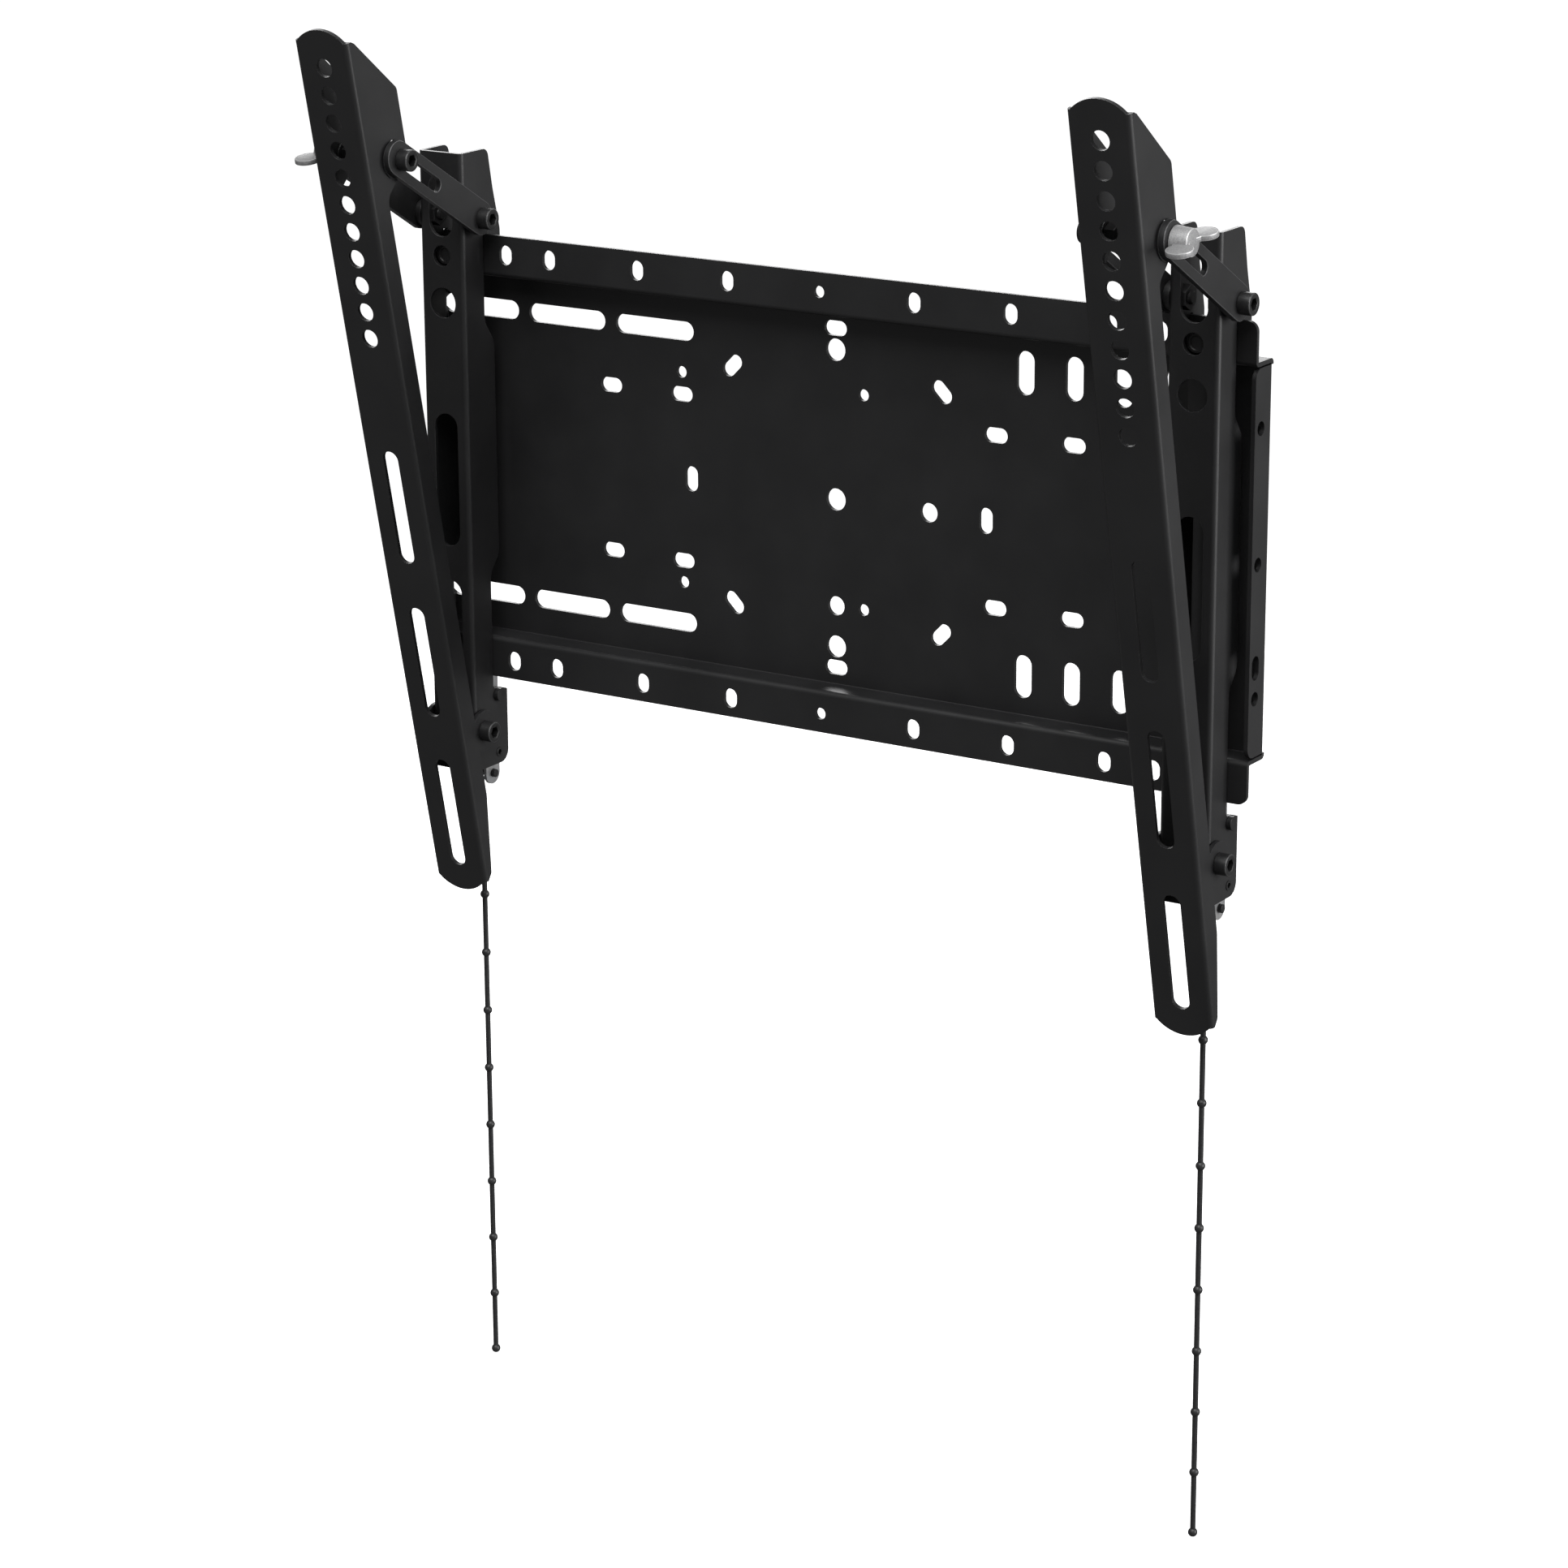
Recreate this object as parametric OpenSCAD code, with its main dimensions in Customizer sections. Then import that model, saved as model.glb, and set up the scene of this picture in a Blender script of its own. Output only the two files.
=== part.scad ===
// Tilting wall mount for a flat screen, in millimetres.
// Origin: centre of the wall plate, on the wall. X runs along the plate, +Y into the wall, Z up.

/* [Wall plate] */
// Width of the wall plate
plate_width = 444; // [430:2:700]
// Height of the panel between the two folds
panel_height = 176; // [150:2:240]
// Height of each hooking rail
hook_rail_height = 20; // [15:1:30]
// Distance from the wall to the front of the hooking rails
hook_rail_stand_off = 16; // [13:0.5:25]
// Thickness of all folded sheets
sheet = 2; // [1.5:0.1:3]
// Outer radius of the folds
fold_radius = 2.4; // [2.2:0.1:5]
// Rounding of the rails' outer corners
rail_corner_radius = 4.5; // [2:0.5:12]
// Width of the slit between an end flange and the folds
corner_slit = 0.8; // [0.4:0.1:2]

/* [Plate holes] */
// Length of the horizontal anchor slots
anchor_slot_length = 44; // [20:1:48]
// Width of the anchor slots
anchor_slot_width = 9; // [6:0.5:12]
// Distance between neighbouring horizontal anchor slots
anchor_slot_pitch = 50; // [46:1:60]
// Distance of the nearest anchor slots from the centre
anchor_first = 100; // [90:1:140]
// Height of the anchor rows above and below the centre
anchor_row = 70; // [50:1:80]
// Length of the upright anchor slots
upright_slot_length = 20; // [12:1:30]
// Distance between neighbouring upright anchor slots
upright_slot_pitch = 25; // [15:1:30]
// Diameter of the centre anchor holes
anchor_hole = 10.4; // [6:0.1:14]
// Radius of the ring of small slots
ring_radius = 80; // [60:1:85]
// Length of the ring's slots
ring_slot_length = 12; // [8:0.5:20]
// Width of the ring's slots
ring_slot_width = 7; // [4:0.5:10]
// Distance from the plate's middle to the nearer side slots
side_slot_near = 85; // [75:1:95]
// Distance from the plate's middle to the farther side slots
side_slot_far = 125; // [110:1:140]
// Height of the side slots above and below the centre
side_slot_row = 40; // [30:1:45]
// Width of the oval holes in the hooking rails
rail_hole_width = 7.2; // [4:0.1:10]
// Height of the oval holes in the hooking rails
rail_hole_height = 9.3; // [5:0.1:14]
// Diameter of the small setting-out holes
small_hole = 5.5; // [3:0.1:8]
// Diameter of the end flange's round holes
end_hole = 6.5; // [4:0.1:9]

/* [Arms] */
// Distance between the two arms
arm_spacing = 400; // [120:1:410]
// Tilt of the display rails in the stored pose
tilt = 12; // [12:0.5:12.5]
// Width of a hook bracket
bracket_width = 25; // [24:0.1:26]
// Distance from the wall to the front of a hook bracket
bracket_stand_off = 32.5; // [31:0.1:34]
// Rise of a hook bracket above the upper hooking rail
bracket_rise = 40.1; // [38:0.1:42]
// Drop of a hook bracket below the lower hooking rail
bracket_drop = 44.8; // [42:0.1:48]
// Width of the slots in a hook bracket's web
web_slot_width = 13.4; // [8:0.2:14]
// Diameter of the hole in front of the lock screw
lock_hole = 10; // [9.4:0.1:12]
// Diameter of the round opening below it
web_hole = 14.6; // [6:0.1:16]

/* [Display rails] */
// Width of a display rail
display_rail_width = 30; // [29:0.1:34]
// Length of a display rail from tip to tip
display_rail_length = 440; // [430:1:450]
// Radius of the arched ends of a display rail
arch_radius = 18; // [17:0.5:30]
// Height of the arched ends above a display rail's shoulders
end_rise = 5.8; // [3:0.1:7]
// Distance from the upper tip to the first round hole
first_hole = 18; // [14:0.5:24]
// Diameter of a display rail's round holes
screen_hole = 8.8; // [6:0.1:10]
// Distance between neighbouring round holes
screen_hole_pitch = 13.14; // [12:0.01:14]
// Number of round holes in a display rail
screen_hole_count = 11; // [5:1:11]
// Length of a display rail's long slots
screen_slot_length = 57.8; // [40:0.1:62]
// Distance between neighbouring long slots
screen_slot_pitch = 81.2; // [70:0.1:85]
// Depth of a display rail at its wide upper part
wide_depth = 30.3; // [28:0.1:32]
// Depth of a display rail at its narrow lower part
narrow_depth = 11.7; // [9:0.1:13]

/* [Tilt pivot] */
// Distance from the wall to the tilt pivot
tilt_pivot_out = 27.8; // [27:0.1:28.5]
// Drop of the tilt pivot below the lower hooking rail
tilt_pivot_below = 24.4; // [22:0.1:26]
// Depth of the tilt pivot behind a display rail's front
tilt_pivot_depth = 18.1; // [17:0.1:19]
// Radius of a display rail's ear round the tilt pivot
pivot_ear_radius = 10; // [8:0.5:12]
// Diameter of the tilt pivot's shank
tilt_shank = 5; // [4:0.1:5.2]

/* [Stays] */
// Distance from the wall to the stays' lower pivot
stay_pivot_out = 25.3; // [24:0.1:26]
// Rise of the stays' lower pivot above the upper hooking rail
stay_pivot_rise = 9.5; // [8:0.1:12]
// Rise of the clamp bolts above the stays' lower pivot
clamp_rise = 36; // [35:0.1:37]
// Depth of the clamp bolts behind a display rail's front
clamp_depth = 20.7; // [20:0.1:21.5]
// Distance from the first round hole down to the clamp bolts
clamp_drop = 49.5; // [48:0.1:51]
// Width of a stay
stay_width = 16; // [14:0.5:18]
// Thickness of a stay
stay_thickness = 3; // [2:0.1:3.5]
// Width of a stay's slot
stay_slot_width = 6.5; // [6.3:0.1:7]
// Distance from a stay's lower hole to the lower end of its slot
stay_slot_start = 40.4; // [38:0.1:42]
// Diameter of the clamp washers
clamp_washer = 18; // [16:0.5:19]
// Thickness of the clamp washers
clamp_washer_thickness = 0.8; // [0.5:0.1:1]

/* [Screws] */
// Diameter of the screws' shanks
shank = 6; // [5:0.1:6]
// Diameter of the cap screw heads
cap_head = 10; // [8:0.1:11]
// Height of the cap screw heads
cap_height = 6; // [4:0.1:7]
// Distance across the flats of the hex nuts
nut_flats = 10; // [8:0.1:10.2]
// Height of the hex nuts
nut_height = 5; // [3:0.1:5.5]
// Span of a wing bolt from tip to tip
wing_span = 34; // [26:1:40]
// Thickness of a wing
wing_thickness = 2; // [1.5:0.1:3]

/* [Latches] */
// Width of a latch over its two cheeks
latch_width = 16; // [12:0.5:20]
// Sheet thickness of a latch
latch_sheet = 1.5; // [1:0.1:2]
// Travel of a latch when its cord is pulled
latch_travel = 10.5; // [10.5:0.1:11]
// Height that a latch reaches behind the lower hooking rail
latch_reach = 10; // [6:0.5:12]
// Diameter of the latch's cross pin
latch_pin = 4; // [3:0.1:4.5]
// Diameter of the pull cords
cord_diameter = 2.6; // [1.5:0.1:3]
// Diameter of the beads
bead_diameter = 4.5; // [3.5:0.1:6]
// Distance between neighbouring beads
bead_pitch = 30.3; // [20:0.1:40]
// Number of beads on a cord
bead_count = 9; // [4:1:12]

/* [Fits] */
// Gap round a shank in its hole
shank_gap = 0.1; // [0.05:0.01:0.2]
// Gap between faces that slide on each other
slide_gap = 0.1; // [0.05:0.01:0.2]
// Gap between a bracket and the plate's rails
hook_gap = 0.6; // [0.3:0.1:1]

/* [Hidden] */
$fn = 48;

// Colours
black_coat = [0.09, 0.09, 0.1];
black_oxide = [0.07, 0.07, 0.07];
zinc = [0.72, 0.72, 0.74];
black_plastic = [0.04, 0.04, 0.04];

// Heights of the plate's folds
panel_edge = panel_height / 2;
web_outer = panel_edge + sheet;
rail_edge = panel_edge + hook_rail_height;
rail_hole_z = panel_edge + hook_rail_height / 2 + 1;
rail_hole_places = [50, 100, 150, 175];
inner_fold = fold_radius - sheet;
cut = 1;

// What an arc crosses a straight edge by, so that the two meet in a clean point
meet = 0.002;

// Layers of an arm, counted from its middle plane outwards
bracket_half = bracket_width / 2;
bracket_inner = bracket_half - sheet;
rail_half = display_rail_width / 2;
rail_inner = rail_half - sheet;
washer_start = rail_half + slide_gap;
stay_start = washer_start + clamp_washer_thickness + slide_gap;
stay_end = stay_start + stay_thickness;
head_start = stay_end + slide_gap;
inner_washer_start = rail_inner - slide_gap;
inner_washer_end = inner_washer_start - clamp_washer_thickness;
shank_tip = 4;

// Places in the side view, as [y, z]
bracket_top = rail_edge + bracket_rise;
bracket_bottom = rail_edge + bracket_drop;
tilt_pivot = [-tilt_pivot_out, -rail_edge - tilt_pivot_below];
stay_pivot = [-stay_pivot_out, rail_edge + stay_pivot_rise];
clamp_height = stay_pivot[1] + clamp_rise - tilt_pivot[1];
tilt_pivot_drop = clamp_drop + (clamp_height - (clamp_depth - tilt_pivot_depth) * sin(tilt)) / cos(tilt);
function along_rail(depth, s) = [
  tilt_pivot[0] + (depth - tilt_pivot_depth) * cos(tilt) - (s + tilt_pivot_drop) * sin(tilt),
  tilt_pivot[1] + (depth - tilt_pivot_depth) * sin(tilt) + (s + tilt_pivot_drop) * cos(tilt)
];
clamp = along_rail(clamp_depth, -clamp_drop);
stay_vector = clamp - stay_pivot;
stay_length = norm(stay_vector);
stay_angle = atan2(stay_vector[1], -stay_vector[0]);

// Free play of the clamp bolts in a display rail, which opens the linkage there:
// the way of a bolt's middle, as [depth, length] from its place in the stored pose
play_way = [[0, 0], [0.75, 5.2], [0.45, 5.95], [-5.55, -1.7]];
play_gap = 0.15;

// Hook bracket details
rivet_place = [-13, -rail_edge - 39.1];
button_place = [-13.5, -rail_edge - 9.8];
button_diameter = 6.5;
button_head = 2.4;
rivet_diameter = 4.7;
rivet_hole = 2.5;
lock_height = rail_hole_z;
web_hole_z = lock_height - 22.4;
head_slot = [rail_edge, rail_edge + 30];
middle_slot = [-41.4, 23.3];
foot_slot = [-rail_edge - 2, -58.3];

// Latch details
latch_front = -18;
latch_rear = -7;
latch_end = [-12.5, -rail_edge - 50.6];
latch_end_radius = 5.5;
latch_shelf_z = -rail_edge - 14.5;
spring_wire = 1;
spring_diameter = 8;
spring_turns = 6;

// Cord route from the latch pin down, as [x, y, z] from the arm's middle
cord_side = 1.5;
cord_top = latch_end[1] - 2.6;
cord_length = 302.8;
cord_route = [[cord_side, -13, cord_top], [cord_side, -13, cord_top - cord_length]];

// A flat slot of overall length and width, along X
module slot(length, width) {
  square([length - width, width], center = true);
  translate([(length - width) / 2, 0]) circle(d = width + 2 * meet);
  translate([-(length - width) / 2, 0]) circle(d = width + 2 * meet);
}

// A slot between two points
module slot_between(a, b, width) {
  d = b - a;
  translate((a + b) / 2) rotate(atan2(d[1], d[0])) slot(norm(d) + width, width);
}

function unit(v) = v / norm(v);
function turn(a, b, c) = (b[0] - a[0]) * (c[1] - b[1]) - (b[1] - a[1]) * (c[0] - b[0]);

// The bit between a corner of an outline and its rounding
module corner_bit(a, p, b, r) {
  u = unit(a - p);
  v = unit(b - p);
  half = acos(u * v) / 2;
  m = unit(u + v);
  centre = p + m * (r / sin(half));
  reach = r / tan(half);
  difference() {
    polygon([p - m * 0.2, p + u * reach, centre, p + v * reach]);
    translate(centre) circle(r + meet);
  }
}

// An anticlockwise outline with rounded corners
module rounded_outline(points, radii) {
  n = len(points);
  difference() {
    union() {
      polygon(points);
      for (i = [0 : n - 1])
        if (radii[i] > 0 && turn(points[(i + n - 1) % n], points[i], points[(i + 1) % n]) < 0)
          corner_bit(points[(i + n - 1) % n], points[i], points[(i + 1) % n], radii[i]);
    }
    for (i = [0 : n - 1])
      if (radii[i] > 0 && turn(points[(i + n - 1) % n], points[i], points[(i + 1) % n]) > 0)
        corner_bit(points[(i + n - 1) % n], points[i], points[(i + 1) % n], radii[i]);
  }
}

// Puts a side view [y, z] upright and makes it as thick as wanted along X, centred
module across(thickness) {
  rotate([90, 0, 90]) linear_extrude(thickness, center = true) children();
}

// The same, from one X to another
module across_from(x1, x2) {
  translate([min(x1, x2), 0, 0]) rotate([90, 0, 90]) linear_extrude(abs(x2 - x1)) children();
}

// Puts a front view [x, z] upright and makes it as thick as wanted along Y, centred
module inward(thickness) {
  rotate([90, 0, 0]) linear_extrude(thickness, center = true) children();
}

// A folded channel's section with its web at y = 0 and its flanges towards +Y
module channel_section(width, depth) {
  difference() {
    rounded_outline(
      [[-width / 2, 0], [width / 2, 0], [width / 2, depth], [-width / 2, depth]],
      [fold_radius, fold_radius, 0, 0]
    );
    rounded_outline(
      [[-width / 2 + sheet, sheet], [width / 2 - sheet, sheet],
       [width / 2 - sheet, depth + cut], [-width / 2 + sheet, depth + cut]],
      [inner_fold, inner_fold, 0, 0]
    );
  }
}

// Places what is made for the right arm, or its mirror image for the left
module arm(side) {
  if (side > 0)
    translate([arm_spacing / 2, 0, 0]) children();
  else
    mirror([1, 0, 0]) translate([arm_spacing / 2, 0, 0]) children();
}

// Stands a display rail's own frame (x, depth, length) in the stored pose
module on_rail() {
  translate([0, tilt_pivot[0], tilt_pivot[1]]) rotate([tilt, 0, 0])
    translate([0, -tilt_pivot_depth, tilt_pivot_drop]) children();
}

// Stands a stay's own frame (x, along the stay, across it) in the stored pose
module on_stay() {
  translate([0, stay_pivot[0], stay_pivot[1]]) rotate([180 - stay_angle, 0, 0]) children();
}

// A bar along X between two distances from the arm's middle
module pin_x(x1, x2, diameter, place) {
  translate([min(x1, x2), place[0], place[1]]) rotate([0, 90, 0]) cylinder(h = abs(x2 - x1), d = diameter);
}

// A cap screw on the +X side, with its head at x
module cap_screw(x, tip, place, diameter) {
  difference() {
    union() {
      pin_x(tip, x, diameter, place);
      pin_x(x, x + cap_height - 0.5, cap_head, place);
      translate([x + cap_height - 0.5, place[0], place[1]]) rotate([0, 90, 0])
        cylinder(h = 0.5, d1 = cap_head, d2 = cap_head - 1);
    }
    translate([x + cap_height - 3, place[0], place[1]]) rotate([0, 90, 0])
      cylinder(h = 4, d = 5.8, $fn = 6);
  }
}

// A hex nut that starts with its washer face at a distance from the arm's middle and grows inwards,
// with flats facing front and back
module hex_nut(x, place) {
  face = 0.4;
  translate([x, place[0], place[1]]) rotate([0, -90, 0]) difference() {
    union() {
      cylinder(h = face + 0.1, d = nut_flats - 0.8);
      translate([0, 0, face]) cylinder(h = nut_height - face, d = nut_flats / cos(30), $fn = 6);
    }
    translate([0, 0, -cut]) cylinder(h = nut_height + 2 * cut, d = shank + 2 * shank_gap);
  }
}

// A washer between two distances from the arm's middle
module washer(x1, x2, outer, inner, place) {
  difference() {
    pin_x(x1, x2, outer, place);
    pin_x(min(x1, x2) - cut, max(x1, x2) + cut, inner, place);
  }
}

module plate_section() {
  a = -hook_rail_stand_off;
  b = a + sheet;
  rounded_outline(
    [[0, -web_outer], [0, web_outer], [b, web_outer], [b, rail_edge], [a, rail_edge], [a, panel_edge],
     [-sheet, panel_edge], [-sheet, -panel_edge], [a, -panel_edge], [a, -rail_edge], [b, -rail_edge],
     [b, -web_outer]],
    [fold_radius, fold_radius, inner_fold, 0, 0, fold_radius,
     inner_fold, inner_fold, fold_radius, 0, 0, inner_fold]
  );
}

module plate_end_profile() {
  h = panel_edge - corner_slit;
  rounded_outline(
    [[cut, -h], [cut, h], [-hook_rail_stand_off, h], [-hook_rail_stand_off, -h]],
    [0, 0, 5, 5]
  );
}

module plate_blank() {
  difference() {
    across(plate_width) plate_section();
    for (side = [-1, 1])
      translate([side * plate_width / 2, -fold_radius, 0])
        cube([2 * fold_radius, 4 * fold_radius, 2 * (panel_edge - corner_slit)], center = true);
  }
  intersection() {
    translate([0, 0, -panel_edge]) linear_extrude(2 * panel_edge) mirror([0, 1])
      channel_section(plate_width, hook_rail_stand_off);
    across(plate_width + 2) plate_end_profile();
  }
}

module panel_holes() {
  for (z = [-anchor_row, anchor_row]) {
    for (i = [0 : 2])
      translate([-anchor_first - i * anchor_slot_pitch, z]) slot(anchor_slot_length, anchor_slot_width);
    for (i = [0 : 4])
      translate([anchor_first + i * upright_slot_pitch, z]) rotate(90)
        slot(upright_slot_length, anchor_slot_width);
    translate([0, z]) circle(d = anchor_hole);
  }
  circle(d = anchor_hole);
  for (i = [0 : 7])
    rotate(i * 45) translate([ring_radius, 0]) rotate(90) slot(ring_slot_length, ring_slot_width);
  for (x = [side_slot_near, side_slot_far], side = [-1, 1], z = [-side_slot_row, side_slot_row])
    translate([side * x, z]) slot(ring_slot_length, ring_slot_width);
  translate([50, 0]) circle(d = anchor_slot_width);
  translate([0, -50.5]) circle(d = anchor_slot_width);
  for (x = [-side_slot_near, 15], z = [-50.5, 50.5])
    translate([x, z]) circle(d = small_hole);
}

module hook_rail_holes() {
  for (z = [-rail_hole_z, rail_hole_z]) {
    for (x = rail_hole_places, side = [-1, 1])
      translate([side * x, z]) rotate(90) slot(rail_hole_height, rail_hole_width);
    translate([0, z]) circle(d = small_hole);
  }
}

module rail_corner_cuts() {
  for (sx = [-1, 1], sz = [-1, 1])
    scale([sx, sz]) translate([plate_width / 2 - rail_corner_radius, rail_edge - rail_corner_radius])
      difference() {
        square(rail_corner_radius + cut);
        circle(rail_corner_radius);
      }
}

module end_flange_holes() {
  y = -hook_rail_stand_off + 5.5;
  for (z = [-60.5, 0, 60.5])
    translate([y, z]) circle(d = end_hole);
  translate([y, -46.5]) rotate(90) slot(11, end_hole);
}

module wall_plate() {
  color(black_coat)
    difference() {
      plate_blank();
      inward(3 * sheet) panel_holes();
      translate([0, -hook_rail_stand_off, 0]) inward(3 * sheet + cut) {
        hook_rail_holes();
        rail_corner_cuts();
      }
      across(plate_width + 10) end_flange_holes();
    }
}

module bracket_side() {
  front = -bracket_stand_off;
  face = -hook_rail_stand_off - hook_gap;
  behind = -hook_rail_stand_off + sheet + hook_gap;
  hook_tip = rail_edge - 13;
  tab_top = -rail_edge - 6.5;
  rounded_outline(
    [[front, -bracket_bottom], [-5.5, -bracket_bottom], [-5.5, tab_top - 2.1], [-11.5, tab_top],
     [face, tab_top], [face, -57], [-9.5, -48], [-9.5, 56], [face, 66], [face, rail_edge + hook_gap],
     [behind, rail_edge + hook_gap], [behind, hook_tip], [-3, hook_tip], [-3, rail_edge + 1],
     [-8, bracket_top - 19], [-11.5, bracket_top], [front, bracket_top]],
    [0, 6, 0.5, 1, 2, 8, 8, 8, 8, 0.5, 0.5, 1, 2, 8, 0, 4, 0]
  );
}

module upright_slot(ends, width) {
  slot_between([0, ends[0] + width / 2], [0, ends[1] - width / 2], width);
}

module web_openings() {
  for (ends = [head_slot, middle_slot, foot_slot])
    upright_slot(ends, web_slot_width);
  translate([0, lock_height]) circle(d = lock_hole);
  translate([0, web_hole_z]) circle(d = web_hole);
}

module hook_bracket() {
  color(black_coat)
    difference() {
      intersection() {
        translate([0, -bracket_stand_off, -bracket_bottom - cut])
          linear_extrude(bracket_top + bracket_bottom + 2 * cut)
            channel_section(bracket_width, bracket_stand_off);
        across(bracket_width + 2) bracket_side();
      }
      translate([0, -bracket_stand_off, 0]) inward(3 * sheet) web_openings();
      for (side = [-1, 1]) {
        pin_x(side * (bracket_inner - cut), side * (bracket_half + cut), shank + 2 * shank_gap, stay_pivot);
        pin_x(side * (bracket_inner - cut), side * (bracket_half + cut), tilt_shank + 2 * shank_gap, tilt_pivot);
        pin_x(side * (bracket_inner - cut), side * (bracket_half + cut), rivet_diameter - 1 + 2 * shank_gap,
              rivet_place);
        pin_x(side * (bracket_inner - cut), side * (bracket_half + cut), rivet_diameter + 2 * shank_gap,
              button_place);
      }
    }
}

// Cross plate behind the web, which holds the lock screw
lock_plate_y = -22;
lock_plate_height = 14;

module lock_plate() {
  color(black_coat)
    translate([0, lock_plate_y, lock_height]) difference() {
      cube([2 * bracket_inner, 3, lock_plate_height], center = true);
      rotate([90, 0, 0]) cylinder(h = 10, d = shank + 2 * shank_gap, center = true);
    }
}

module lock_screw() {
  head_back = -25;
  color(black_oxide)
    translate([0, 0, lock_height]) difference() {
      union() {
        translate([0, head_back, 0]) rotate([90, 0, 0]) cylinder(h = 5, d = 9);
        translate([0, -hook_rail_stand_off - 0.3, 0]) rotate([90, 0, 0])
          cylinder(h = -hook_rail_stand_off - 0.3 - head_back + 1, d = shank);
      }
      translate([0, head_back - 2.5, 0]) rotate([90, 0, 0]) cylinder(h = 4, d = 5.8, $fn = 6);
    }
}

module stay_pivot_screws() {
  color(black_oxide)
    for (side = [0, 1]) mirror([side, 0, 0])
      cap_screw(head_start, shank_tip, stay_pivot, shank);
}

module stay_pivot_nuts() {
  color(black_oxide)
    for (side = [0, 1]) mirror([side, 0, 0])
      hex_nut(bracket_inner - slide_gap, stay_pivot);
}

module stay_spacers() {
  color(black_oxide)
    for (side = [-1, 1])
      washer(side * (bracket_half + slide_gap), side * (stay_start - slide_gap), 13,
             shank + 2 * shank_gap, stay_pivot);
}

module tilt_pivot_screws() {
  color(black_oxide)
    for (side = [0, 1]) mirror([side, 0, 0])
      cap_screw(washer_start, bracket_inner - 1.5, tilt_pivot, tilt_shank);
}

module latch_rivets() {
  color(black_oxide) {
    washer(-bracket_half - 0.4, bracket_half + 0.4, rivet_diameter - 1, rivet_hole, rivet_place);
    for (side = [-1, 1]) {
      washer(side * (bracket_half + slide_gap), side * (bracket_half + 0.4), rivet_diameter, rivet_hole,
             rivet_place);
      pin_x(side * (latch_width / 2 + 0.4), side * (bracket_half + slide_gap), rivet_diameter, button_place);
      pin_x(side * (bracket_half + slide_gap), side * (bracket_half + button_head), button_diameter,
            button_place);
    }
  }
}

module display_rail_side() {
  bottom = first_hole - display_rail_length;
  shoulder = first_hole - end_rise;
  web = sheet + 0.5;
  rounded_outline(
    [[-cut, bottom - cut], [web, bottom - cut], [web, bottom + end_rise], [5.6, bottom + end_rise + 3],
     [narrow_depth, bottom + 49], [narrow_depth, -65], [18, -61], [wide_depth, -52], [wide_depth, -18.5],
     [5.6, shoulder - 1.4], [3.5, shoulder], [web, shoulder], [web, first_hole + cut],
     [-cut, first_hole + cut]],
    [0, 0, 0, 3, 0, 6, 6, 4, 4, 2, 1, 0, 0, 0]
  );
  translate([tilt_pivot_depth, -tilt_pivot_drop]) circle(pivot_ear_radius);
}

module display_rail_front() {
  bottom = first_hole - display_rail_length;
  translate([-rail_half - cut, bottom + end_rise])
    square([2 * rail_half + 2 * cut, display_rail_length - 2 * end_rise]);
  translate([0, first_hole - arch_radius]) circle(arch_radius);
  translate([0, bottom + arch_radius]) circle(arch_radius);
}

module display_rail_openings() {
  for (i = [0 : screen_hole_count - 1])
    translate([0, -i * screen_hole_pitch]) circle(d = screen_hole);
  for (i = [0 : 2])
    translate([0, -217.3 - i * screen_slot_pitch]) rotate(90) slot(screen_slot_length, screen_hole);
}

// The clamp bolts' free play, all that a shank sweeps and a little more
module play_window() {
  polygon(play_way);
  for (i = [0 : 3])
    slot_between(play_way[i], play_way[(i + 1) % 4], shank + 2 * play_gap);
}

module display_rail() {
  color(black_coat)
    on_rail() difference() {
      intersection() {
        translate([0, 0, first_hole - display_rail_length - cut])
          linear_extrude(display_rail_length + 2 * cut)
            channel_section(display_rail_width, wide_depth + cut);
        across(display_rail_width + 2) display_rail_side();
        inward(4 * wide_depth) display_rail_front();
      }
      inward(3 * sheet) display_rail_openings();
      across(display_rail_width + 2) {
        translate([tilt_pivot_depth, -tilt_pivot_drop]) circle(d = tilt_shank + 2 * shank_gap);
        translate([clamp_depth, -clamp_drop]) play_window();
      }
    }
}

module stay() {
  on_stay() across_from(stay_start, stay_end) difference() {
    translate([(stay_length + 2) / 2, 0]) slot(stay_length + 2 + stay_width, stay_width);
    circle(d = shank + 2 * shank_gap);
    slot_between([stay_slot_start, 0], [stay_length + 0.3, 0], stay_slot_width);
  }
}

module outer_stay() {
  color(black_coat) stay();
}

module inner_stay() {
  color(black_coat) mirror([1, 0, 0]) stay();
}

module clamp_screw() {
  color(black_oxide) mirror([1, 0, 0]) cap_screw(head_start, shank_tip, clamp, shank);
}

module clamp_washers() {
  color(black_oxide)
    for (side = [-1, 1]) {
      washer(side * washer_start, side * (washer_start + clamp_washer_thickness), clamp_washer,
             shank + 2 * shank_gap, clamp);
      washer(side * inner_washer_start, side * inner_washer_end, 14, shank + 2 * shank_gap, clamp);
    }
}

module clamp_nuts() {
  color(black_oxide)
    for (side = [0, 1]) mirror([side, 0, 0])
      hex_nut(inner_washer_end, clamp);
}

wing_tilt = 11;
wing_radius = 6;
wing_middle = 27;
wing_hub = 5.2;

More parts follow.
